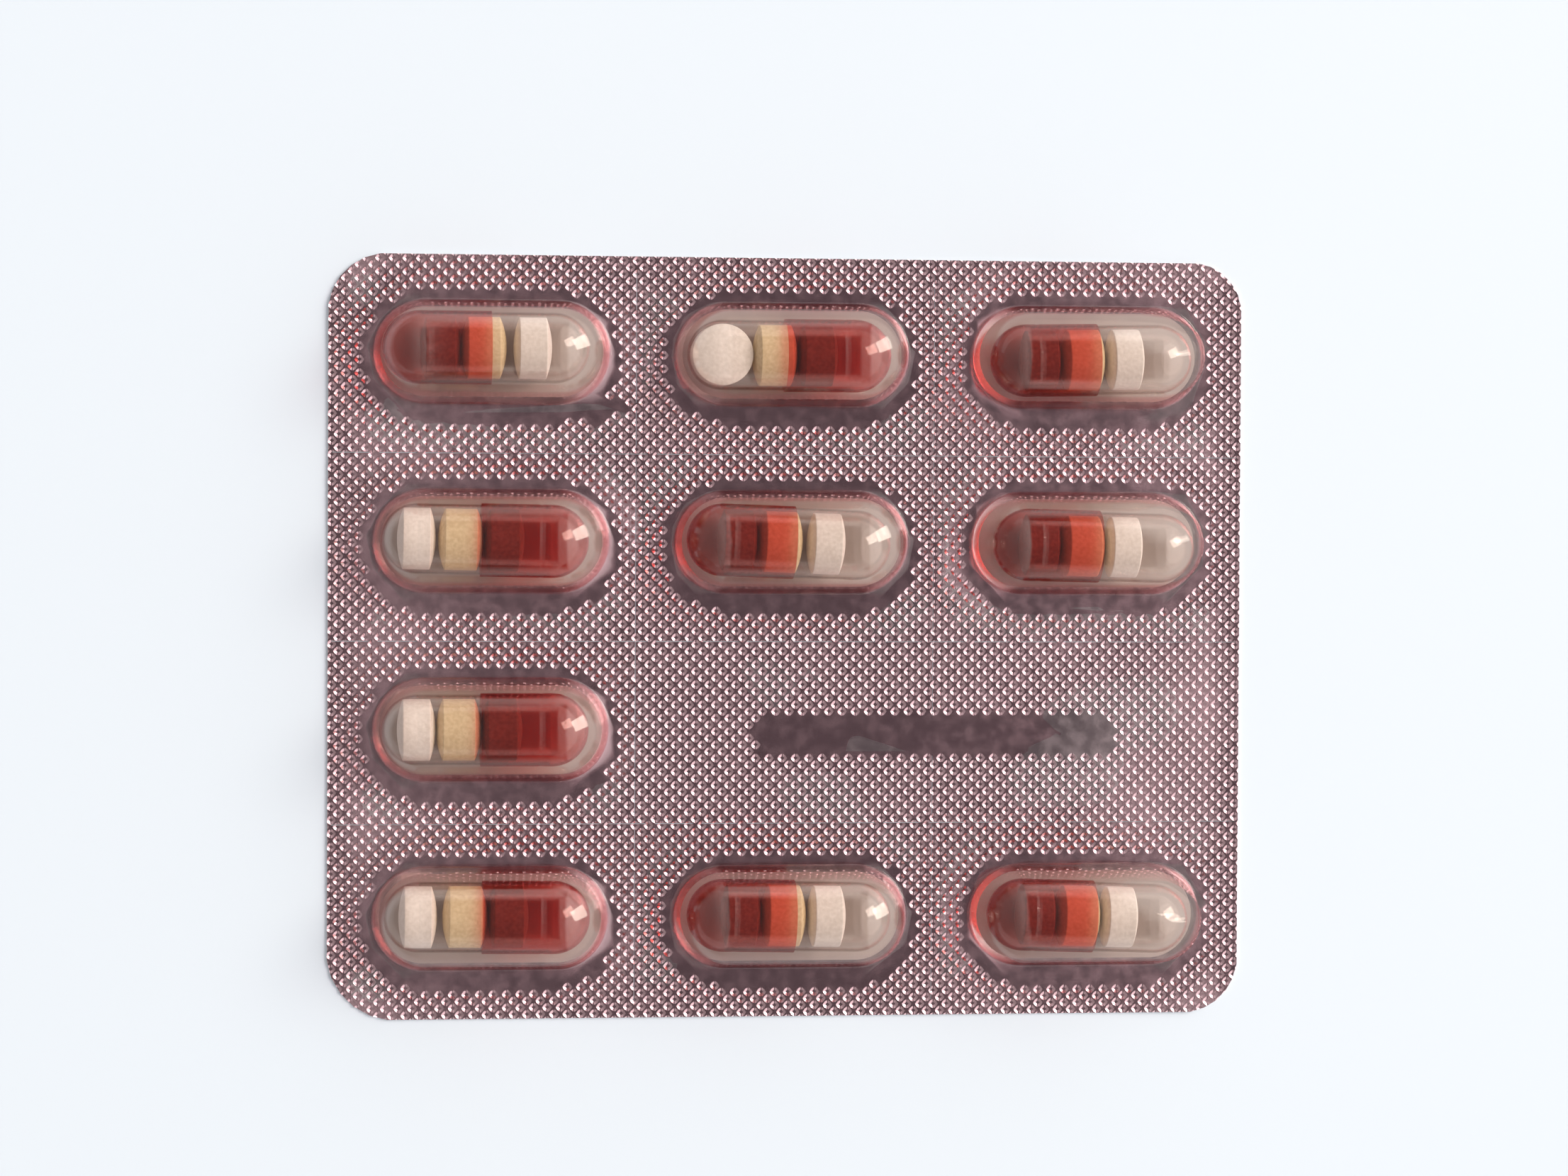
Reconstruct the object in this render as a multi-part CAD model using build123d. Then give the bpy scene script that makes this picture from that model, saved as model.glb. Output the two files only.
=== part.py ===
from build123d import *
import os
from math import cos, radians, sin, sqrt, tan

# Blister pack of ten hard capsules. A forming film carries one pocket for each capsule and is
# closed underneath by a lidding foil. Each capsule is a cap pushed over a body, and holds three
# small biconvex tablets in a row. Millimetres.
# The pack lies on its foil. +X runs along the capsules, +Y up the rows and +Z out of the pockets.
# The origin is the centre of the sheet's outline, on the underside of the foil.

# Sheets
foil_thickness = 0.03
film_thickness = 0.25
corner_radius_top_left = 6.2
corner_radius_top_right = 5.4
corner_radius_bottom_right = 5.9
corner_radius_bottom_left = 7.2

# Capsule: the body slides into the cap
cap_diameter = 7.64
cap_length = 11.25
capsule_length = 21.5
body_setback = 0.25
shell_wall = 0.11
shell_gap = 0.04
lock_groove_from_tip = 5.0
lock_groove_width = 0.6
lock_groove_depth = 0.04

# Tablets: each is a round band between two shallow convex faces
tablet_diameter = 6.4
tablet_edge_radius = 0.12
white_band = 2.8
white_face_rise = 0.6
cream_band = 3.3
cream_face_rise = 0.7
brown_band = 3.0
brown_face_rise = 0.6

# Clearances
rest_clearance = 0.03
tablet_clearance = 0.04
pocket_side_clearance = 0.85
pocket_end_clearance = 0.86
pocket_top_clearance = 0.4

# Pocket: a drafted wall up to a shoulder, then a domed top
pocket_draft = 9.0
pocket_wall = 0.17
pocket_top_wall = 0.18
shoulder_rise = 1.72
foot_radius = 0.35

# Layout of the pockets on the sheet
column_pitch = 31.65
row_pitch = 19.8
side_margin = 4.47
end_margin = 4.93
grid_shift_x = 0.2
grid_shift_y = 0.2

# Tear lines: slits cut through both sheets, with short ties between them
slit_length = 4.0
slit_tie = 0.85
slit_width = 0.12
column_line_shift = -0.7
row_line_shifts = (-0.7, -0.6, 0.0)

# Every capsule: row, column, +1 where its cap points to +X, its shift along and across the
# pocket as a share of the clearance there, its turn in degrees, how far the white tablet lies
# from the closed end of the body, the gap after the white tablet and the gap after the cream one
capsules = (
    (1, 1, -1, -0.85, 0.30, 0.0, 2.35, 0.70, 0.05),
    (1, 2, 1, -0.90, -0.30, 0.0, 0.0, 0.05, 0.05),
    (1, 3, -1, -0.45, -0.50, 1.0, 3.5, 0.20, 0.05),
    (2, 1, 1, -0.90, 0.15, -1.0, 0.0, 0.25, 0.05),
    (2, 2, -1, -0.85, 0.0, -2.0, 3.2, 0.50, 0.05),
    (2, 3, -1, 0.0, -0.35, -1.3, 3.95, 0.05, 0.05),
    (3, 1, 1, -0.85, 0.25, 0.0, 0.0, 0.05, 0.05),
    (4, 1, 1, -0.60, 0.60, -0.5, 0.0, 0.55, 0.05),
    (4, 2, -1, -0.65, 0.50, -1.0, 3.15, 0.20, 0.05),
    (4, 3, -1, -0.50, 0.20, -2.0, 3.75, 0.05, 0.05),
)
# In this pocket the white tablet has turned its face up
turned_tablet = (1, 2)

cap_radius = cap_diameter / 2
body_radius = cap_radius - shell_wall - shell_gap
body_length = capsule_length - cap_radius - body_setback
body_inside = body_radius - shell_wall
tablet_radius = tablet_diameter / 2
foil_top = foil_thickness
film_top = foil_thickness + film_thickness
axis_height = foil_top + rest_clearance + cap_radius

# The pocket's inner half width and half length at the height of the capsule's axis
inner_half_width = cap_radius + pocket_side_clearance
inner_half_length = capsule_length / 2 + pocket_end_clearance
straight_half = inner_half_length - inner_half_width
slope = tan(radians(pocket_draft))
foot_half_width = inner_half_width + (axis_height - film_top) * slope + pocket_wall
pocket_width = 2 * foot_half_width
pocket_length = pocket_width + 2 * straight_half
sheet_width = 2 * column_pitch + pocket_length + 2 * side_margin
sheet_height = 3 * row_pitch + pocket_width + 2 * end_margin


def pocket_centre(row, column):
    x = grid_shift_x + (column - 2) * column_pitch
    y = grid_shift_y + (2.5 - row) * row_pitch
    return x, y


def outline():
    corners = (
        (-1, 1, corner_radius_top_left),
        (1, 1, corner_radius_top_right),
        (1, -1, corner_radius_bottom_right),
        (-1, -1, corner_radius_bottom_left),
    )
    sheet = Rectangle(sheet_width, sheet_height)
    for side_x, side_y, radius in corners:
        point = Vector(side_x * sheet_width / 2, side_y * sheet_height / 2, 0)
        corner = sheet.vertices().sort_by_distance(point)[0]
        sheet = fillet(corner, radius)
    return sheet


def slit_row(length):
    """Centres of the slits along a tear line of this length, about its middle."""
    pitch = slit_length + slit_tie
    count = int((length + slit_tie) / pitch)
    return [(i - (count - 1) / 2) * pitch for i in range(count)]


def slits():
    depth = 4 * film_top
    along_y = Box(slit_width, slit_length, depth)
    along_x = Box(slit_length, slit_width, depth)
    cuts = []
    for column in (1, 2):
        x = pocket_centre(1, column)[0] + column_pitch / 2 + column_line_shift
        cuts += [Pos(x, y, 0) * along_y for y in slit_row(sheet_height)]
    for row, shift in zip((1, 2, 3), row_line_shifts):
        y = pocket_centre(row, 1)[1] - row_pitch / 2 + shift
        cuts += [Pos(x, y, 0) * along_x for x in slit_row(sheet_width)]
    return cuts


def stadium(profile):
    """The solid of a half profile (radius, height) swept round a stadium of this straight length."""
    half = make_face(Plane.XZ * profile)
    middle = extrude(half, straight_half, dir=(0, 1, 0), both=True)
    middle += mirror(middle, Plane.YZ)
    end = revolve(half, Axis.Z, 360)
    run = Pos(0, straight_half, 0) * end + Pos(0, -straight_half, 0) * end + middle
    return Rot(0, 0, 90) * run


def dome(shoulder_radius, shoulder_height, apex_height):
    """The arc from the shoulder to the apex of a domed top."""
    rise = apex_height - shoulder_height
    radius = (shoulder_radius**2 + rise**2) / (2 * rise)
    middle = shoulder_radius / 2
    height = apex_height - radius + sqrt(radius**2 - middle**2)
    return ThreePointArc((shoulder_radius, shoulder_height), (middle, height), (0, apex_height))


def pocket_outside():
    shoulder_height = axis_height + shoulder_rise + pocket_top_wall / 2
    shoulder_radius = foot_half_width - (shoulder_height - film_top) * slope
    apex_height = axis_height + cap_radius + pocket_top_clearance + pocket_top_wall
    lean = radians(pocket_draft)
    reach = foot_radius * (1 - sin(lean)) / cos(lean)
    toe = foot_half_width + reach
    wall_start = (toe - foot_radius * cos(lean), film_top + foot_radius * (1 - sin(lean)))
    halfway = radians(45 + pocket_draft / 2)
    bend = (toe - foot_radius * cos(halfway), film_top + foot_radius * (1 - sin(halfway)))
    foot = ThreePointArc((toe, film_top), bend, wall_start)
    wall = Line(wall_start, (shoulder_radius, shoulder_height))
    top = dome(shoulder_radius, shoulder_height, apex_height)
    centre = Line((0, apex_height), (0, foil_top))
    base = Line((0, foil_top), (toe, foil_top))
    side = Line((toe, foil_top), (toe, film_top))
    return stadium(foot + wall + top + centre + base + side)


def pocket_inside():
    shoulder_height = axis_height + shoulder_rise
    shoulder_radius = inner_half_width - shoulder_rise * slope
    apex_height = axis_height + cap_radius + pocket_top_clearance
    mouth_height = film_top + foot_radius
    mouth_radius = inner_half_width + (axis_height - mouth_height) * slope
    mouth = mouth_radius + foot_radius
    lip = Line((mouth, foil_top), (mouth_radius, mouth_height))
    wall = Line((mouth_radius, mouth_height), (shoulder_radius, shoulder_height))
    top = dome(shoulder_radius, shoulder_height, apex_height)
    centre = Line((0, apex_height), (0, foil_top))
    base = Line((0, foil_top), (mouth, foil_top))
    return stadium(lip + wall + top + centre + base)


def forming_film():
    film = Pos(0, 0, foil_top) * extrude(outline(), film_thickness)
    outside = pocket_outside()
    inside = pocket_inside()
    places = [Pos(*pocket_centre(item[0], item[1]), 0) for item in capsules]
    film += [place * outside for place in places]
    film -= [place * inside for place in places]
    film -= slits()
    return film


def lidding_foil():
    foil = extrude(outline(), foil_thickness)
    foil -= slits()
    return foil


def capsule_body():
    """The clear half, with its closed end at x = 0 and its open end towards +X."""
    outer = body_radius
    inner = body_inside
    outer_end = CenterArc((outer, 0), outer, 90, 90)
    outer_side = Line((outer, outer), (body_length, outer))
    rim = Line((body_length, outer), (body_length, inner))
    inner_side = Line((body_length, inner), (outer, inner))
    inner_end = CenterArc((outer, 0), inner, 90, 90)
    floor = Line((0, 0), (shell_wall, 0))
    return revolve(make_face(outer_end + outer_side + rim + inner_side + inner_end + floor), Axis.X, 360)


def capsule_cap():
    """The red half, with its closed end at x = capsule_length and its open end towards -X."""
    outer = cap_radius
    inner = cap_radius - shell_wall
    centre = capsule_length - outer
    mouth = capsule_length - cap_length
    groove = capsule_length - lock_groove_from_tip
    half_groove = lock_groove_width / 2
    outer_line = Polyline(
        (mouth, outer),
        (groove - half_groove, outer),
        (groove, outer - lock_groove_depth),
        (groove + half_groove, outer),
        (centre, outer),
    )
    outer_end = CenterArc((centre, 0), outer, 0, 90)
    floor = Line((capsule_length, 0), (capsule_length - shell_wall, 0))
    inner_end = CenterArc((centre, 0), inner, 0, 90)
    inner_side = Line((centre, inner), (mouth, inner))
    rim = Line((mouth, inner), (mouth, outer))
    return revolve(make_face(outer_line + outer_end + floor + inner_end + inner_side + rim), Axis.X, 360)


def tablet(band, face_rise):
    """A biconvex tablet about its centre, with its axis along X."""
    half = band / 2
    reach = tablet_radius / 2
    sphere = (tablet_radius**2 + face_rise**2) / (2 * face_rise)
    swell = half + face_rise - sphere + sqrt(sphere**2 - reach**2)
    left = ThreePointArc((-half - face_rise, 0), (-swell, reach), (-half, tablet_radius))
    side = Line((-half, tablet_radius), (half, tablet_radius))
    right = ThreePointArc((half, tablet_radius), (swell, reach), (half + face_rise, 0))
    axis = Line((half + face_rise, 0), (-half - face_rise, 0))
    blank = revolve(make_face(left + side + right + axis), Axis.X, 360)
    rims = [e for e in blank.edges() if e.geom_type == GeomType.CIRCLE and abs(e.radius - tablet_radius) < 1e-6]
    return fillet(rims, tablet_edge_radius)


def filling(row, column, free_run, white_gap, cream_gap):
    """The three tablets in their places inside a body whose closed end is at x = 0."""
    seat_radius = body_inside - tablet_clearance
    resting = -(seat_radius - tablet_radius)
    turned = (row, column) == turned_tablet
    jammed = free_run == 0
    white = tablet(white_band, white_face_rise)
    if turned:
        reach = sqrt(seat_radius**2 - (white_band / 2) ** 2)
        white_centre = body_radius + tablet_radius - reach
        white = Pos(white_centre, 0, 0) * Rot(0, 90, 0) * white
        white_end = white_centre + tablet_radius
    else:
        rim = body_radius - sqrt(seat_radius**2 - tablet_radius**2)
        white_centre = rim + white_band / 2 + free_run
        white = Pos(white_centre, 0, 0 if jammed else resting) * white
        white_end = white_centre + white_band / 2 + white_face_rise
    cream_half = cream_band / 2 + cream_face_rise
    brown_half = brown_band / 2 + brown_face_rise
    cream_centre = white_end + white_gap + cream_half
    brown_centre = cream_centre + cream_half + cream_gap + brown_half
    cream = Pos(cream_centre, 0, resting) * tablet(cream_band, cream_face_rise)
    brown = Pos(brown_centre, 0, resting) * tablet(brown_band, brown_face_rise)
    return white, cream, brown


def capsule_place(row, column, cap_side, along, across, turn):
    """Where the capsule's own frame, with its clear tip at x = 0, goes on the pack."""
    x, y = pocket_centre(row, column)
    x += along * pocket_end_clearance
    y += across * pocket_side_clearance
    heading = turn if cap_side > 0 else turn + 180
    return Pos(x, y, axis_height) * Rot(0, 0, heading) * Pos(-capsule_length / 2, 0, 0)


def save(shape, node):
    solids = shape.solids()
    part = solids[0] if len(solids) == 1 else Compound(children=solids)
    export_step(part, f"parts/{node}.step")


def main():
    os.makedirs("parts", exist_ok=True)
    save(forming_film(), "forming_film")
    save(lidding_foil(), "lidding_foil")
    cap = capsule_cap()
    body = capsule_body()
    for row, column, cap_side, along, across, turn, free_run, white_gap, cream_gap in capsules:
        place = capsule_place(row, column, cap_side, along, across, turn)
        pocket = f"r{row}c{column}"
        save(place * cap, f"capsule_cap_{pocket}")
        save(place * body, f"capsule_body_{pocket}")
        white, cream, brown = filling(row, column, free_run, white_gap, cream_gap)
        save(place * white, f"white_tablet_{pocket}")
        save(place * cream, f"cream_tablet_{pocket}")
        save(place * brown, f"brown_tablet_{pocket}")


main()
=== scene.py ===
from math import asin, cos, hypot, pi, radians, sin

import bmesh
import bpy
from mathutils import Matrix, Vector
from mathutils.noise import noise as noise_at


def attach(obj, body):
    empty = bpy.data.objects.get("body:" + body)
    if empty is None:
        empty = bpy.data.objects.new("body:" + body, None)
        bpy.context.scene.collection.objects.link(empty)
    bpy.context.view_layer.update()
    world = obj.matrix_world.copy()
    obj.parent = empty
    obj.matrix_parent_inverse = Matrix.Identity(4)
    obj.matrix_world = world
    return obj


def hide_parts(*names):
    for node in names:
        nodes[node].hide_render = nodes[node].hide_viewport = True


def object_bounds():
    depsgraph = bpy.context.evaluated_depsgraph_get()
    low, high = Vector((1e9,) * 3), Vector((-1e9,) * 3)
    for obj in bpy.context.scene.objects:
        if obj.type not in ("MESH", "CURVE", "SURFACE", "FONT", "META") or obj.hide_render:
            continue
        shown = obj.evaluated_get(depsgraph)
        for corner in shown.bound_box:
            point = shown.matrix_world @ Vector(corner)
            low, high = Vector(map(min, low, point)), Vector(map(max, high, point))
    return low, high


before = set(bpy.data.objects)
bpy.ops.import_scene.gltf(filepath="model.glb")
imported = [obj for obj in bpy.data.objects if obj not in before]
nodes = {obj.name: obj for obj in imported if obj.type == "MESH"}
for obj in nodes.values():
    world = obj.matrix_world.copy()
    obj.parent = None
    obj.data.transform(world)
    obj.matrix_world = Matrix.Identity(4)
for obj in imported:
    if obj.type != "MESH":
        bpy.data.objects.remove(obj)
cad_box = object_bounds()
mm = 0.001

# Camera, light and table.
# The pack lies on a pale table in a soft studio that is brighter to the right. A dark strip
# overhead mirrors in the flat foil, and one warm soft box stands to the right.
scene = bpy.context.scene
scene.view_settings.view_transform = "Standard"
scene.cycles.transparent_max_bounces = 32
camera_data = bpy.data.cameras.new("camera")
camera_data.lens = 88.53
camera_data.clip_start = 0.01
camera = bpy.data.objects.new("camera", camera_data)
camera.location = (-0.04753, 0.01305, 0.40481)
camera.rotation_euler = (radians(-1.128), radians(-6.611), radians(0.282))
scene.collection.objects.link(camera)
scene.camera = camera


def link(node_from, socket_from, node_to, socket_to):
    node_from.id_data.links.new(node_from.outputs[socket_from], node_to.inputs[socket_to])


studio = bpy.data.worlds.new("studio")
studio.use_nodes = True
scene.world = studio
sky = studio.node_tree.nodes


def ramp(tree_nodes, start, end, low, high):
    """A smooth step from low to high while its input goes from start to end."""
    step = tree_nodes.new("ShaderNodeMapRange")
    step.interpolation_type = "SMOOTHSTEP"
    step.inputs["From Min"].default_value = start
    step.inputs["From Max"].default_value = end
    step.inputs["To Min"].default_value = low
    step.inputs["To Max"].default_value = high
    return step


def maths(tree_nodes, operation, second=0.0):
    step = tree_nodes.new("ShaderNodeMath")
    step.operation = operation
    step.inputs[1].default_value = second
    return step


def colour_mix(tree_nodes, first, second):
    """Blends two colours: its factor is input 0, its colours inputs 6 and 7, its result output 2."""
    blend = tree_nodes.new("ShaderNodeMix")
    blend.data_type = "RGBA"
    blend.inputs[6].default_value = (*first, 1)
    blend.inputs[7].default_value = (*second, 1)
    return blend


direction = sky.new("ShaderNodeTexCoord")
axes = sky.new("ShaderNodeSeparateXYZ")
link(direction, "Generated", axes, 0)
from_left = ramp(sky, -0.75, 0.80, 0.36, 1.78)
from_below = ramp(sky, -0.8, 0.8, 0.80, 1.12)
level = maths(sky, "MULTIPLY")
link(axes, "X", from_left, "Value")
link(axes, "Y", from_below, "Value")
link(from_left, "Result", level, 0)
link(from_below, "Result", level, 1)
dark_centre = 0.115
from_dark = maths(sky, "SUBTRACT", dark_centre)
aside = maths(sky, "ABSOLUTE")
dark_side = ramp(sky, 0.075, 0.20, 0.0, 1.0)
along_dark = maths(sky, "ABSOLUTE")
dark_end = ramp(sky, 0.84, 0.97, 0.0, 1.0)
open_sky = maths(sky, "MAXIMUM")
link(axes, "X", from_dark, 0)
link(from_dark, 0, aside, 0)
link(aside, 0, dark_side, "Value")
link(axes, "Y", along_dark, 0)
link(along_dark, 0, dark_end, "Value")
link(dark_side, "Result", open_sky, 0)
link(dark_end, "Result", open_sky, 1)
sky_colour = colour_mix(sky, (0.105, 0.096, 0.100), (1.0, 0.98, 0.95))
strength = sky.new("ShaderNodeMix")
strength.inputs[2].default_value = 1.0
link(open_sky, 0, sky_colour, 0)
link(open_sky, 0, strength, 0)
link(level, 0, strength, 3)
link(sky_colour, 2, sky["Background"], "Color")
link(strength, 0, sky["Background"], "Strength")

lamp = bpy.data.lights.new("main_light", "AREA")
lamp.shape = "RECTANGLE"
lamp.size, lamp.size_y = 1.15, 1.75
lamp.energy = 38.0
lamp.color = (1.0, 0.93, 0.82)
soft_box = bpy.data.objects.new("main_light", lamp)
soft_box.location = (1.90, 0.84, 1.60)
soft_box.rotation_euler = (-soft_box.location).to_track_quat("-Z", "Y").to_euler()
scene.collection.objects.link(soft_box)

table_half = 3.0
table_mesh = bpy.data.meshes.new("table")
table_shape = bmesh.new()
bmesh.ops.create_grid(table_shape, x_segments=1, y_segments=1, size=table_half)
table_shape.to_mesh(table_mesh)
table_shape.free()
table = bpy.data.objects.new("table", table_mesh)
scene.collection.objects.link(table)
table_paint = bpy.data.materials.new("table_paint")
table_paint.use_nodes = True
table_coat = table_paint.node_tree.nodes["Principled BSDF"]
table_coat.inputs["Base Color"].default_value = (0.79, 0.855, 0.945, 1)
table_coat.inputs["Roughness"].default_value = 0.8
table_mesh.materials.append(table_paint)


# Lidding foil.
# Hard aluminium foil, heat-sealed under the forming film. The sealing roller presses a knurl of
# small round-cornered pits into both sheets, and leaves the pockets and one plain strip smooth.
sheet_half = Vector((cad_box[1][0], cad_box[1][1]))
pocket_half = Vector((12.35 * mm, 5.41 * mm))
straight_half = pocket_half.x - pocket_half.y
column_pitch = 31.65 * mm
row_pitch = 19.8 * mm
grid_shift = 0.2 * mm
pockets = [name.rsplit("_", 1)[1] for name in sorted(nodes) if name.startswith("capsule_cap")]


def pocket_centre(pocket):
    row, column = int(pocket[1]), int(pocket[3])
    return Vector((grid_shift + (column - 2) * column_pitch, grid_shift + (2.5 - row) * row_pitch))


def from_pocket(x, y, pocket, shift=0.0):
    """How far a point lies outside the pocket's foot, or outside that foot moved down."""
    centre = pocket_centre(pocket)
    along = max(abs(x - centre.x) - straight_half, 0.0)
    return hypot(along, y - centre.y + shift) - pocket_half.y


plain_margin = 0.92 * mm
plain_shift = 1.0 * mm
spot_centre = pocket_centre("r1c1") + Vector((10.6 * mm, -5.6 * mm))
spot_reach = 3.6 * mm
spot_steepness = 1.6
strip_low = Vector((-3.9 * mm, -12.4 * mm))
strip_high = Vector((35.3 * mm, -8.2 * mm))
strip_middle = (strip_low + strip_high) / 2
strip_point = 0.6


def is_smooth(x, y):
    """True where the roller leaves the sheet plain: round a pocket, on a spot and on the strip."""
    for pocket in pockets:
        near = min(from_pocket(x, y, pocket), from_pocket(x, y, pocket, plain_shift))
        if near < plain_margin:
            return True
    if abs(x - spot_centre.x) + spot_steepness * abs(y - spot_centre.y) < spot_reach:
        return True
    if strip_low.y < y < strip_high.y:
        point = strip_point * abs(y - strip_middle.y)
        return strip_low.x + point < x < strip_high.x - point
    return False


bow_reach = 4.5 * mm
bow_height = 0.17 * mm
bow_length = Vector((13.0 * mm, 9.0 * mm))
bow_slice = 1.7
curl_width = 3.2 * mm
curl_height = 0.08 * mm


def lift(x, y):
    """The sheet's own waviness: it bows up a little between the pockets and along its edges."""
    gap = min(from_pocket(x, y, pocket) for pocket in pockets)
    free = max(0.0, min(1.0, gap / bow_reach))
    free = free * free * (3 - 2 * free)
    swell = 0.5 + 0.5 * noise_at(Vector((x / bow_length.x, y / bow_length.y, bow_slice)))
    past_edge = max(0.0, abs(x) - sheet_half.x + curl_width, abs(y) - sheet_half.y + curl_width)
    curl = past_edge / curl_width
    return free * (bow_height * swell + curl_height * curl * curl)


ring_segments = 40
side_cuts = 4
touch = 0.001 * mm
weld = 0.0002 * mm


def stadium_ring(sheet, centre, radius, height):
    """A closed ring of edges round a pocket: two half circles and the straight sides."""
    turn = Matrix.Translation((*centre, height)) @ Matrix.Rotation(pi / ring_segments, 4, "Z")
    circle = bmesh.ops.create_circle(sheet, segments=ring_segments, radius=radius, matrix=turn)["verts"]
    for vertex in circle:
        vertex.co.x += straight_half if vertex.co.x > centre.x else -straight_half
    edges = {edge for vertex in circle for edge in vertex.link_edges}
    sides = [edge for edge in edges if edge.calc_length() > straight_half]
    split = bmesh.ops.bisect_edges(sheet, edges=sides, cuts=side_cuts)["geom_split"]
    ring = set()
    waiting = [next(g for g in split if isinstance(g, bmesh.types.BMVert))]
    while waiting:
        for edge in waiting.pop().link_edges:
            if edge not in ring:
                ring.add(edge)
                waiting.extend(edge.verts)
    return list(ring)


def run_between(loop, start, end, above):
    """The edges of a closed loop from start to end, on its upper or its lower side."""
    best = None
    loop = set(loop)
    for first in [e for e in start.link_edges if e in loop]:
        run, vertex = [first], first.other_vert(start)
        while vertex is not end:
            following = next(e for e in vertex.link_edges if e in loop and e is not run[-1])
            vertex = following.other_vert(vertex)
            run.append(following)
        height = sum(v.co.y for e in run for v in e.verts) / len(run)
        if best is None or (height > best[0]) == above:
            best = (height, run)
    return best[1]


def fill_between(sheet, rim, ring):
    """Fills the plain flat from a zigzag rim to a pocket's ring, or right across without one."""
    if not ring:
        bmesh.ops.contextual_create(sheet, geom=rim)
        return
    joins = []
    ends = []
    upper = 0.01
    for side in (-1, 1):
        tip = max({v for e in ring for v in e.verts}, key=lambda v: side * v.co.x + upper * v.co.y)
        near = min({v for e in rim for v in e.verts}, key=lambda v: (v.co - tip.co).length)
        joins.append(sheet.edges.new((tip, near)))
        ends.append((tip, near))
    (left_tip, left_near), (right_tip, right_near) = ends
    for above in (True, False):
        halves = run_between(rim, left_near, right_near, above)
        halves += run_between(ring, left_tip, right_tip, above)
        bmesh.ops.contextual_create(sheet, geom=halves + joins)


knurl_pitch = 1.0 * mm
knurl_count = 126
land_width = 0.095 * mm
pit_corner = 0.84
corner_reach = 1.2
pit_slope = 0.27 * mm
window_reach = Vector((4.5 * mm, 5.5 * mm))


def knurled_sheet(land, depth, ring_radius):
    """The sheet's knurled face: a diagonal grid of cells, each with one pressed pit. The pockets'
    rings stay open in it."""
    sheet = bmesh.new()
    turn = Matrix.Rotation(pi / 4, 3, "Z")
    grid_half = knurl_count / 2 * knurl_pitch
    bmesh.ops.create_grid(sheet, x_segments=knurl_count, y_segments=knurl_count, size=grid_half)
    bmesh.ops.rotate(sheet, verts=sheet.verts, cent=(0, 0, 0), matrix=turn)
    reach = sheet_half + Vector((knurl_pitch, knurl_pitch))
    spare = []
    for face in sheet.faces:
        middle = face.calc_center_median()
        if abs(middle.x) > reach.x or abs(middle.y) > reach.y or is_smooth(middle.x, middle.y):
            spare.append(face)
    bmesh.ops.delete(sheet, geom=spare, context="FACES")
    inner = sheet_half - Vector((2 * knurl_pitch, 2 * knurl_pitch))
    pinched = True
    while pinched:
        pinched = {
            vertex.link_faces[0] for vertex in sheet.verts
            if abs(vertex.co.x) < inner.x and abs(vertex.co.y) < inner.y
            and sum(edge.is_boundary for edge in vertex.link_edges) > 2
        }
        bmesh.ops.delete(sheet, geom=list(pinched), context="FACES")
    cells = list(sheet.faces)
    rims = [
        edge for edge in sheet.edges if edge.is_boundary
        and all(abs(v.co.x) < inner.x and abs(v.co.y) < inner.y for v in edge.verts)
    ]
    windows = [(pocket_centre(p), pocket_half + window_reach, p) for p in pockets]
    windows.append((strip_middle, (strip_high - strip_low) / 2 + window_reach, None))
    for centre, half, pocket in windows:
        rim = [
            edge for edge in rims if all(
                abs(v.co.x - centre.x) < half.x and abs(v.co.y - centre.y) < half.y for v in edge.verts)
        ]
        ring = stadium_ring(sheet, centre, ring_radius, 0) if pocket else []
        fill_between(sheet, rim, ring)
    bmesh.ops.inset_individual(sheet, faces=cells, thickness=land_width, depth=0)
    sides = list({edge for cell in cells for edge in cell.edges})
    bmesh.ops.subdivide_edges(sheet, edges=sides, cuts=1)
    half_pit = knurl_pitch / 2 - land_width
    for cell in cells:
        middle = cell.calc_center_median()
        for corner in [v for v in cell.verts if (v.co - middle).length > corner_reach * half_pit]:
            corner.co = middle + (corner.co - middle) * pit_corner
    for edge in {edge for cell in cells for edge in cell.edges}:
        edge.smooth = False
    bmesh.ops.inset_individual(sheet, faces=cells, thickness=pit_slope, depth=-depth)
    bmesh.ops.translate(sheet, verts=sheet.verts, vec=(0, 0, land))
    return sheet


cut_weld = 0.00001 * mm


def cut_plane(sheet, faces, place, out, clear=False):
    """Cuts these faces along an upright plane, and clears what lies beyond it if asked to."""
    geometry = set(faces)
    for face in faces:
        geometry.update(face.edges)
        geometry.update(face.verts)
    bmesh.ops.bisect_plane(
        sheet, geom=list(geometry), dist=cut_weld, plane_co=(*place, 0), plane_no=(*out, 0),
        clear_outer=clear
    )


corner_radii = ((-1, 1, 6.2 * mm), (1, 1, 5.4 * mm), (1, -1, 5.9 * mm), (-1, -1, 7.2 * mm))
corner_steps = 6


def trim(sheet):
    """Cuts the sheet to its outline: four straight sides and four round corners."""
    half = sheet_half
    cuts = [((side * half.x, 0), (side, 0)) for side in (1, -1)]
    cuts += [((0, side * half.y), (0, side)) for side in (1, -1)]
    for side_x, side_y, radius in corner_radii:
        centre = Vector((side_x * (half.x - radius), side_y * (half.y - radius)))
        for step in range(1, corner_steps):
            out = Matrix.Rotation(pi / 2 * step / corner_steps, 2) @ Vector((1, 0))
            out = Vector((side_x * abs(out.x), side_y * abs(out.y)))
            cuts.append((tuple(centre + out * radius), tuple(out)))
    for place, out in cuts:
        cut_plane(sheet, sheet.faces[:], place, out, clear=True)


slit_length = 4.0 * mm
slit_pitch = 4.85 * mm
slit_half_width = 0.045 * mm
slit_columns = (-16.325 * mm, 15.325 * mm)
slit_rows = (19.3 * mm, -0.4 * mm, -19.6 * mm)


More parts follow.
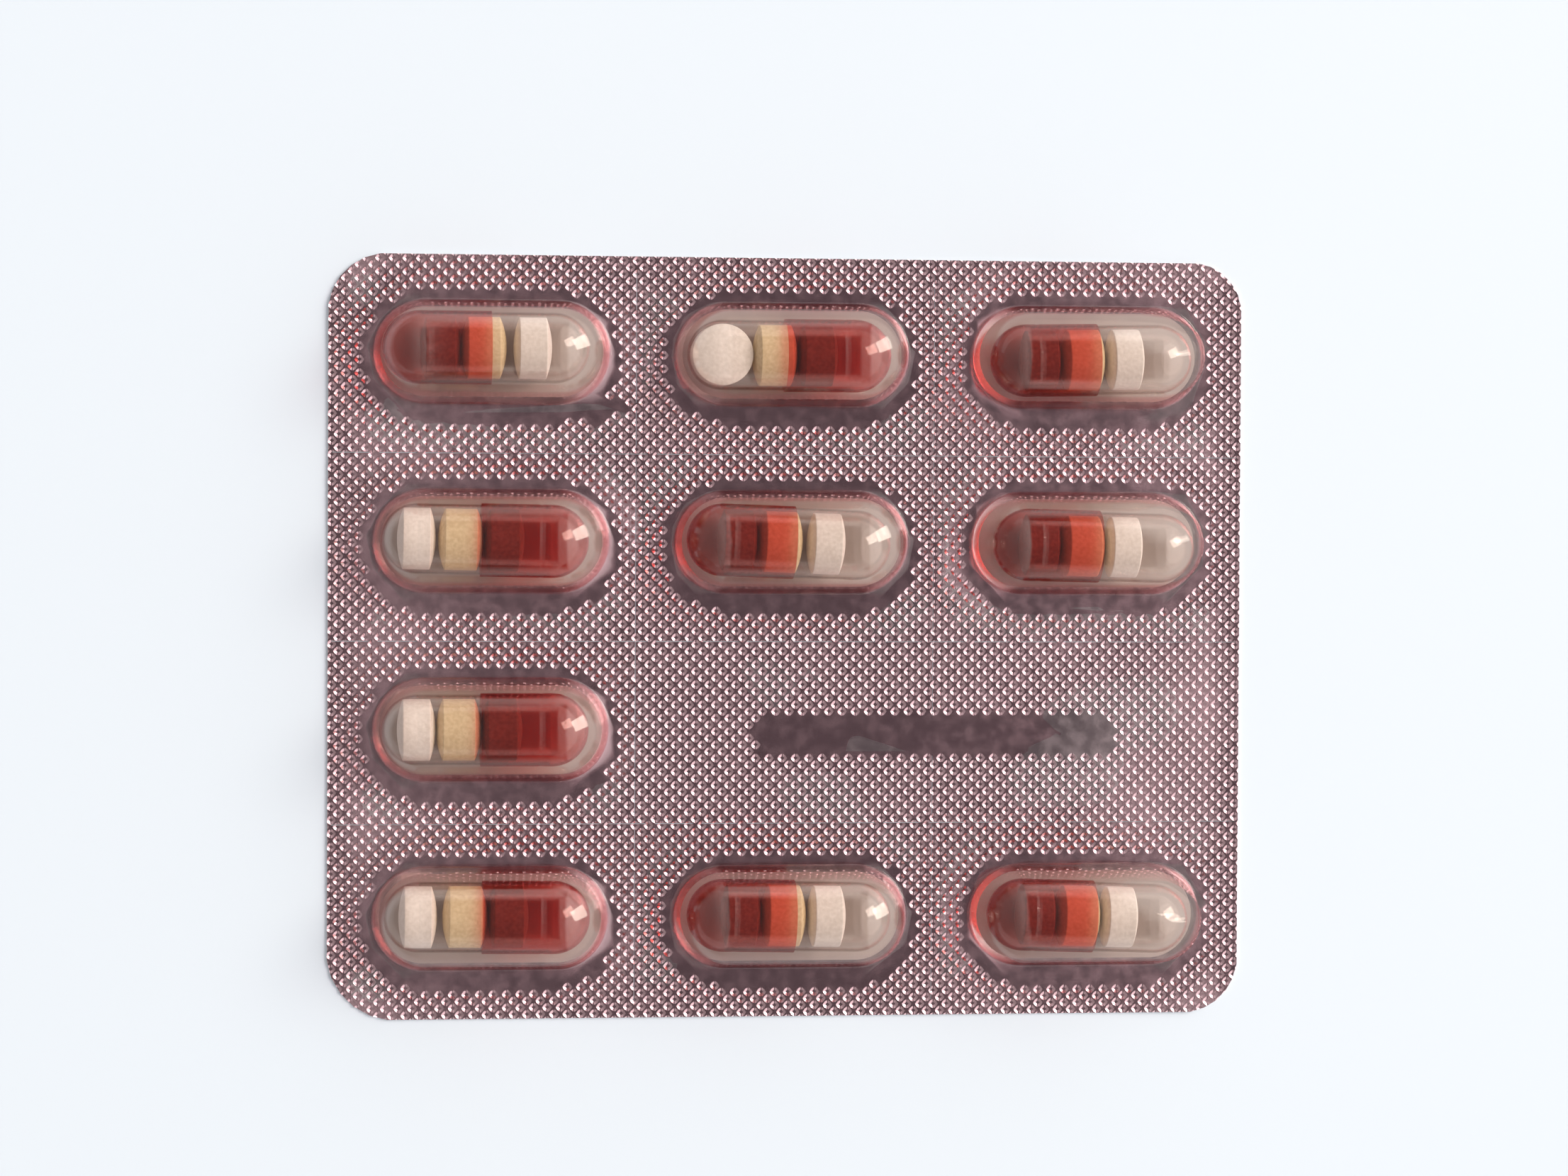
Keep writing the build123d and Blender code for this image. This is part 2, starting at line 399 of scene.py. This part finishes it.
def cut_slits(sheet):
    """The tear lines: short slits through the sheet, with ties left between them."""
    lines = [(0, x) for x in slit_columns] + [(1, y) for y in slit_rows]
    for axis, place in lines:
        length = 2 * sheet_half[1 - axis]
        count = int((length + slit_pitch - slit_length) / slit_pitch)
        for side in (-1, 1):
            near = [
                face for face in sheet.faces
                if abs(face.calc_center_median()[axis] - place) < 2 * knurl_pitch
            ]
            at = [0, 0]
            at[axis] = place + side * slit_half_width
            out = [0, 0]
            out[axis] = 1
            cut_plane(sheet, near, at, out)
        gone = []
        for face in sheet.faces:
            middle = face.calc_center_median()
            if abs(middle[axis] - place) < slit_half_width:
                along = middle[1 - axis] / slit_pitch + (count - 1) / 2
                off_centre = abs(along - round(along)) * slit_pitch
                if off_centre < slit_length / 2 and -0.5 < along < count - 0.5:
                    gone.append(face)
        bmesh.ops.delete(sheet, geom=gone, context="FACES")


def ring_up(sheet, edges):
    """Extrudes these edges once and gives the new edges and vertices."""
    grown = bmesh.ops.extrude_edge_only(sheet, edges=edges)["geom"]
    fresh = {g for g in grown if isinstance(g, bmesh.types.BMVert)}
    far = [g for g in grown if isinstance(g, bmesh.types.BMEdge) and all(v in fresh for v in g.verts)]
    return far, fresh


def open_rings(sheet, radius):
    """Sorts the sheet's open edges: a ring of them round each pocket, and the rim of the sheet."""
    rings = {}
    for pocket in pockets:
        centre = pocket_centre(pocket)
        rings[pocket] = [
            edge for edge in sheet.edges if edge.is_boundary and all(
                abs(v.co.y - centre.y) <= radius + touch
                and abs(v.co.x - centre.x) <= radius + straight_half + touch for v in edge.verts)
        ]
    ringed = {edge for ring in rings.values() for edge in ring}
    rim = [edge for edge in sheet.edges if edge.is_boundary and edge not in ringed]
    return rings, rim


def close_below(sheet, edges, height, extra=()):
    """Takes the edges straight down to this height and closes the flat underside."""
    low_edges, low = ring_up(sheet, edges)
    for vertex in low:
        vertex.co.z = height
    bmesh.ops.triangle_fill(sheet, use_beauty=True, edges=low_edges + list(extra), normal=(0, 0, -1))


crease = radians(50.0)


def finish_piece(name, shape, material):
    """Gives the shape its waviness and its sharp creases, and makes it a piece of the pack."""
    mesh = bpy.data.meshes.new(name)
    bmesh.ops.remove_doubles(shape, verts=shape.verts, dist=weld)
    for vertex in shape.verts:
        if vertex.co.z > touch:
            vertex.co.z += lift(vertex.co.x, vertex.co.y)
    bmesh.ops.recalc_face_normals(shape, faces=shape.faces)
    for face in shape.faces:
        face.smooth = True
    for edge in shape.edges:
        if edge.calc_face_angle(0.0) > crease:
            edge.smooth = False
    shape.to_mesh(mesh)
    shape.free()
    mesh.materials.append(material)
    piece = bpy.data.objects.new(name, mesh)
    scene.collection.objects.link(piece)
    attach(piece, "root")
    return piece


def noise(tree, scale, detail=3.0):
    """A noise pattern that is fixed to the piece: its scale counts waves per metre."""
    place = tree.nodes.new("ShaderNodeTexCoord")
    pattern = tree.nodes.new("ShaderNodeTexNoise")
    pattern.inputs["Scale"].default_value = scale
    pattern.inputs["Detail"].default_value = detail
    link(place, "Object", pattern, "Vector")
    return pattern


def spread(tree, pattern, low, high):
    """The pattern's middle tones, spread from low to high."""
    span = ramp(tree.nodes, 0.3, 0.7, low, high)
    link(pattern, 0, span, "Value")
    return span


def rolled_foil(name, colour, shine, low, high, wave):
    """Bright rolled aluminium: its roughness and its slight waves vary over the sheet."""
    material = bpy.data.materials.new(name)
    material.use_nodes = True
    tree = material.node_tree
    metal = tree.nodes["Principled BSDF"]
    metal.inputs["Metallic"].default_value = shine
    metal.inputs["Base Color"].default_value = (*colour, 1)
    link(spread(tree, noise(tree, 700.0), low, high), "Result", metal, "Roughness")
    waviness = tree.nodes.new("ShaderNodeBump")
    waviness.inputs["Distance"].default_value = wave
    link(noise(tree, 90.0, 2.0), 0, waviness, "Height")
    link(waviness, "Normal", metal, "Normal")
    return material


aluminium = rolled_foil("aluminium_foil", (0.88, 0.845, 0.835), 1.0, 0.10, 0.17, 0.006 * mm)
bare_foil = rolled_foil("bare_foil", (0.46, 0.39, 0.365), 0.4, 0.36, 0.50, 0.02 * mm)
foil_land = 0.16 * mm
foil_floor = 0.04 * mm
foil_pit_depth = 0.12 * mm
recess_slope = 0.8 * mm
mouth_radius = 5.5 * mm
foil_shape = knurled_sheet(foil_land, foil_pit_depth, mouth_radius)
trim(foil_shape)
cut_slits(foil_shape)
rings, foil_rim = open_rings(foil_shape, mouth_radius)
close_below(foil_shape, foil_rim, 0.0)
for ring in rings.values():
    base = bmesh.ops.contextual_create(foil_shape, geom=ring)["faces"]
    bmesh.ops.inset_individual(foil_shape, faces=base, thickness=recess_slope, depth=0)
    for face in base:
        bmesh.ops.translate(foil_shape, verts=face.verts, vec=(0, 0, foil_floor - foil_land))
        face.material_index = 1
foil = finish_piece("lidding_foil_knurled", foil_shape, aluminium)
foil.data.materials.append(bare_foil)
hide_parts("lidding_foil")


# Forming film.
# Rose-tinted clear plastic sheet with ten thermoformed pockets, heat-sealed onto the foil. Seen
# edge on, its pocket walls are a deeper rose. The roller's knurl shows on its upper face too.
film_land = 0.28 * mm
film_pit_depth = 0.08 * mm
film_underside = 0.175 * mm
toe_radius = 5.60 * mm
# Radii and heights of the pockets' walls, in millimetres.
foot_profile = ((5.49, 0.33), (5.41, 0.43), (5.363, 0.575))
outer_shoulder = (4.553, 5.69)
inner_foot = (5.185, 0.63)
inner_shoulder = (4.398, 5.60)
outer_apex = 8.28
inner_apex = 8.10
dome_rows = 7
# Small dents in the domed tops: the pocket, a point in millimetres from its foot's centre, and
# the way out through the top.
dent_hold = 0.75
dents = (
    ("r1c3", (5.5, 3.3, 6.25), (0.20, 0.62, 0.75)),
    ("r2c3", (5.0, 3.4, 6.35), (0.16, 0.62, 0.75)),
    ("r4c3", (7.5, 3.0, 6.25), (0.35, 0.55, 0.75)),
    ("r4c3", (-9.5, -2.5, 6.2), (-0.40, -0.50, 0.75)),
    ("r1c1", (10.0, -2.3, 6.4), (0.45, -0.45, 0.75)),
    ("r2c2", (9.8, -3.0, 6.3), (0.45, -0.50, 0.75)),
)


def dome_profile(shoulder, apex):
    """Radii and heights of the domed top, from the shoulder to the ridge, in millimetres."""
    radius, height = shoulder
    rise = apex - height
    sphere = (radius**2 + rise**2) / (2 * rise)
    start = asin(radius / sphere)
    rows = [start * (1 - row / dome_rows) for row in range(1, dome_rows + 1)]
    return [(sphere * sin(a), apex - sphere * (1 - cos(a))) for a in rows]


def form_pocket(film, edges, centre, profile):
    """Draws a ring of edges up through the profile's radii and heights to a closed ridge."""
    for radius, height in profile:
        edges, fresh = ring_up(film, edges)
        for vertex in fresh:
            axis_x = centre.x + max(-straight_half, min(straight_half, vertex.co.x - centre.x))
            out = Vector((vertex.co.x - axis_x, vertex.co.y - centre.y)).normalized() * radius * mm
            vertex.co = (axis_x + out.x, centre.y + out.y, height * mm)


face_on_share = 0.045
edge_on_share = 0.65
deep_from = 0.45
deep_full = 0.86
land_top = 0.3 * mm
drawn_from = 1.2 * mm


def clear_shell(name, tint, deep_tint, gloss_colour, gloss_range, bump_depth, land_tint=None):
    """A thin tinted wall: light passes straight through it, and its surface mirrors the room."""
    material = bpy.data.materials.new(name)
    material.use_nodes = True
    tree = material.node_tree
    tree.nodes.remove(tree.nodes["Principled BSDF"])
    facing = tree.nodes.new("ShaderNodeLayerWeight")
    edge_on = ramp(tree.nodes, deep_from, deep_full, 0.0, 1.0)
    link(facing, "Facing", edge_on, "Value")
    colour = colour_mix(tree.nodes, tint, deep_tint)
    link(edge_on, "Result", colour, 0)
    if land_tint:
        place = tree.nodes.new("ShaderNodeTexCoord")
        height = tree.nodes.new("ShaderNodeSeparateXYZ")
        drawn = ramp(tree.nodes, land_top, drawn_from, 0.0, 1.0)
        land_colour = colour_mix(tree.nodes, land_tint, tint)
        link(place, "Object", height, 0)
        link(height, "Z", drawn, "Value")
        link(drawn, "Result", land_colour, 0)
        link(colour, 2, land_colour, 7)
        colour = land_colour
    through = tree.nodes.new("ShaderNodeBsdfTransparent")
    link(colour, 2, through, "Color")
    mirror = tree.nodes.new("ShaderNodeBsdfGlossy")
    mirror.inputs["Color"].default_value = (*gloss_colour, 1)
    link(spread(tree, noise(tree, 300.0), *gloss_range), "Result", mirror, "Roughness")
    ripples = tree.nodes.new("ShaderNodeBump")
    ripples.inputs["Distance"].default_value = bump_depth
    link(noise(tree, 60.0, 2.0), 0, ripples, "Height")
    link(ripples, "Normal", mirror, "Normal")
    fifth = maths(tree.nodes, "POWER", 5.0)
    link(facing, "Facing", fifth, 0)
    share = tree.nodes.new("ShaderNodeMapRange")
    share.inputs["To Min"].default_value = face_on_share
    share.inputs["To Max"].default_value = edge_on_share
    link(fifth, 0, share, "Value")
    wall = tree.nodes.new("ShaderNodeMixShader")
    link(share, "Result", wall, 0)
    link(through, 0, wall, 1)
    link(mirror, 0, wall, 2)
    link(wall, 0, tree.nodes["Material Output"], "Surface")
    return material


rose_film = clear_shell(
    "rose_film", (0.985, 0.955, 0.945), (0.83, 0.46, 0.475), (1.0, 0.98, 0.96), (0.05, 0.09),
    bump_depth=0.002 * mm, land_tint=(0.94, 0.85, 0.875)
)
film_shape = knurled_sheet(film_land, film_pit_depth, toe_radius)
trim(film_shape)
cut_slits(film_shape)
feet, film_rim = open_rings(film_shape, toe_radius)
mouths = {p: stadium_ring(film_shape, pocket_centre(p), mouth_radius, film_underside) for p in pockets}
close_below(film_shape, film_rim, film_underside, [e for ring in mouths.values() for e in ring])
for pocket in pockets:
    centre = pocket_centre(pocket)
    outside = [*foot_profile, outer_shoulder, *dome_profile(outer_shoulder, outer_apex)]
    inside = [inner_foot, inner_shoulder, *dome_profile(inner_shoulder, inner_apex)]
    form_pocket(film_shape, feet[pocket], centre, outside)
    form_pocket(film_shape, mouths[pocket], centre, inside)
wall_foot = 1.5 * mm
for pocket, place, out in dents:
    middle = pocket_centre(pocket)
    point = Vector((middle.x, middle.y, 0)) + Vector(place) * mm
    normal = Vector(out).normalized()
    for vertex in film_shape.verts:
        if from_pocket(vertex.co.x, vertex.co.y, pocket) < 0 and vertex.co.z > wall_foot:
            vertex.co -= normal * max(0.0, (vertex.co - point).dot(normal)) * dent_hold
film = finish_piece("forming_film_knurled", film_shape, rose_film)
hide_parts("forming_film")


# Capsules.
# Hard gelatin shells: a red cap pushed over a clear body. Both are thin, glossy and transparent,
# and hold each other by a ring groove in the cap.
shell_ripple = 0.008 * mm
red_gelatin = clear_shell(
    "red_gelatin", (0.965, 0.635, 0.61), (0.86, 0.42, 0.40), (1, 1, 1), (0.05, 0.10), shell_ripple
)
clear_gelatin = clear_shell(
    "clear_gelatin", (0.99, 0.985, 0.975), (0.90, 0.87, 0.84), (1, 1, 1), (0.04, 0.08), shell_ripple
)


def assign(name, material):
    for slot in nodes[name].material_slots:
        slot.material = material


for pocket in pockets:
    assign(f"capsule_cap_{pocket}", red_gelatin)
    assign(f"capsule_body_{pocket}", clear_gelatin)


# Tablets.
# Pressed powder: a white, a cream and a dark brown tablet in every capsule, matt and finely
# speckled.
grain_depth = 0.03 * mm


def pressed_powder(name, base, speck, roughness):
    material = bpy.data.materials.new(name)
    material.use_nodes = True
    tree = material.node_tree
    powder = tree.nodes["Principled BSDF"]
    powder.inputs["Roughness"].default_value = roughness
    grains = noise(tree, 2600.0, 5.0)
    colour = colour_mix(tree.nodes, base, speck)
    link(spread(tree, grains, 0.0, 1.0), "Result", colour, 0)
    link(colour, 2, powder, "Base Color")
    pits = tree.nodes.new("ShaderNodeBump")
    pits.inputs["Distance"].default_value = grain_depth
    link(grains, 0, pits, "Height")
    link(pits, "Normal", powder, "Normal")
    return material


white_powder = pressed_powder("white_powder", (0.95, 0.90, 0.86), (0.84, 0.78, 0.73), 0.6)
cream_powder = pressed_powder("cream_powder", (0.86, 0.71, 0.46), (0.74, 0.58, 0.35), 0.6)
brown_powder = pressed_powder("brown_powder", (0.27, 0.12, 0.09), (0.19, 0.08, 0.06), 0.5)
for pocket in pockets:
    assign(f"white_tablet_{pocket}", white_powder)
    assign(f"cream_tablet_{pocket}", cream_powder)
    assign(f"brown_tablet_{pocket}", brown_powder)
